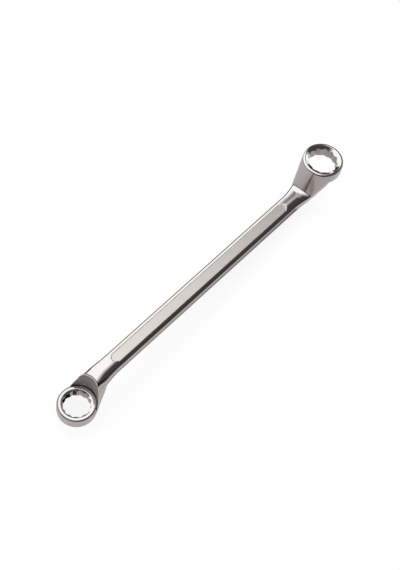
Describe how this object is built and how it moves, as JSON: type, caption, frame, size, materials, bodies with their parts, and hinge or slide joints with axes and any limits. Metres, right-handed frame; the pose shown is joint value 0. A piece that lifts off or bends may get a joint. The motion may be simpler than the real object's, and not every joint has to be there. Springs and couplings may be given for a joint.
{
  "type": "ring_spanner",
  "caption": "Double-ended deep offset ring spanner for 17 mm and 19 mm hexagon nuts, with 12-point rings offset to opposite sides of a flat, crowned shank",
  "frame": {"origin": "centre of the bounding box in X and Y, at its bottom in Z, which is the small ring's working face", "axes": "+X along the shank from the small ring to the large ring; +Z along both rings' axes, towards the large ring's working face; Y = 0 is the plane of symmetry"},
  "size_m": [0.2738, 0.0292, 0.0453],
  "materials": {
    "polished_chrome": "polished chrome plate on the crowned faces, matte in the sunk panels",
    "satin_chrome": "satin chrome plate over ground steel"
  },
  "bodies": {
    "root": {"shank": "polished_chrome", "small_neck": "satin_chrome", "small_ring": "satin_chrome", "large_neck": "satin_chrome", "large_ring": "satin_chrome"}
  },
  "joints": []
}
